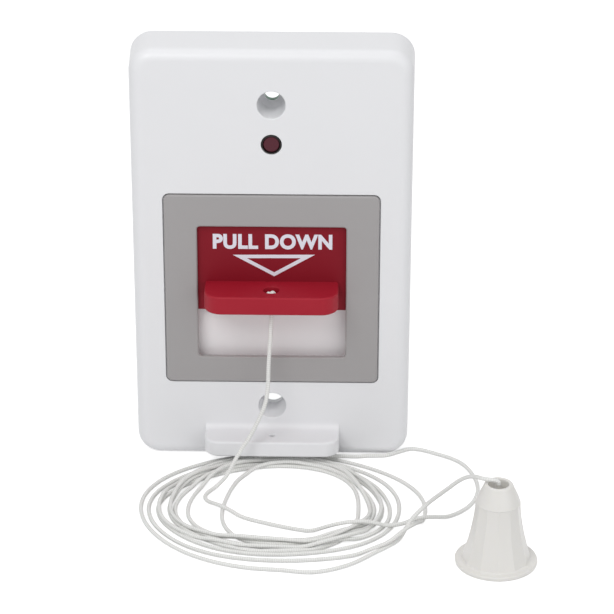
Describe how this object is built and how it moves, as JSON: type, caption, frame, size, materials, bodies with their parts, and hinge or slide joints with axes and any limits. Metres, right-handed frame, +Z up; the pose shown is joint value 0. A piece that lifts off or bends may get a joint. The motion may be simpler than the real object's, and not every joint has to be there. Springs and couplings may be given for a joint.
{
  "type": "emergency pull cord alarm",
  "caption": "Wall-mounted emergency call station with a pull-down slide, an indicator lamp, and a free pull cord that ends in a bell-shaped pull.",
  "frame": {"origin": "under the middle of the station (cover and slide, cord left out), on the surface it stands on", "axes": "+X to the right seen from the front, +Y into the wall, +Z up"},
  "size_m": [0.1021, 0.0767, 0.113],
  "materials": {
    "cover": "satin moulded white",
    "bezel": "satin moulded grey",
    "track": "satin moulded white",
    "slide": "satin moulded red",
    "lamp_holder": "black",
    "lamp": "dark red resin",
    "board": "green solder mask",
    "reed": "clear glass tube",
    "resistor": "lacquer",
    "diode": "black resin",
    "brass": "bright",
    "steel": "plated",
    "magnet": "dark",
    "cord": "braided white",
    "pull": "satin moulded off-white"
  },
  "bodies": {
    "station": {"front_cover": "cover", "bezel": "bezel", "track": "track", "detent_spring": "steel", "lamp_holder": "lamp_holder", "indicator_lamp": "lamp", "circuit_board": "board", "reed_switch": "reed", "resistor": "resistor", "diode": "diode", "wire_post_1": "brass", "wire_post_2": "brass", "wire_post_3": "brass", "track_screw_1": "steel", "track_screw_2": "steel", "track_screw_3": "steel", "track_screw_4": "steel", "board_screw_1": "steel", "board_screw_2": "steel", "board_screw_3": "steel", "board_screw_4": "steel", "cord_drop": "cord", "cord_coil": "cord", "cord_loop": "cord", "cord_tail": "cord", "bell_pull": "pull", "bell_knot": "cord"},
    "slide": {"slide": "slide", "magnet": "magnet", "slide_knot": "cord"}
  },
  "joints": [
    {"name": "slide_pull", "type": "slide", "parent": "station", "child": "slide", "axis": [0, 0, -1], "range_m": [0, 0.0125], "deforming": ["cord_drop"]}
  ]
}
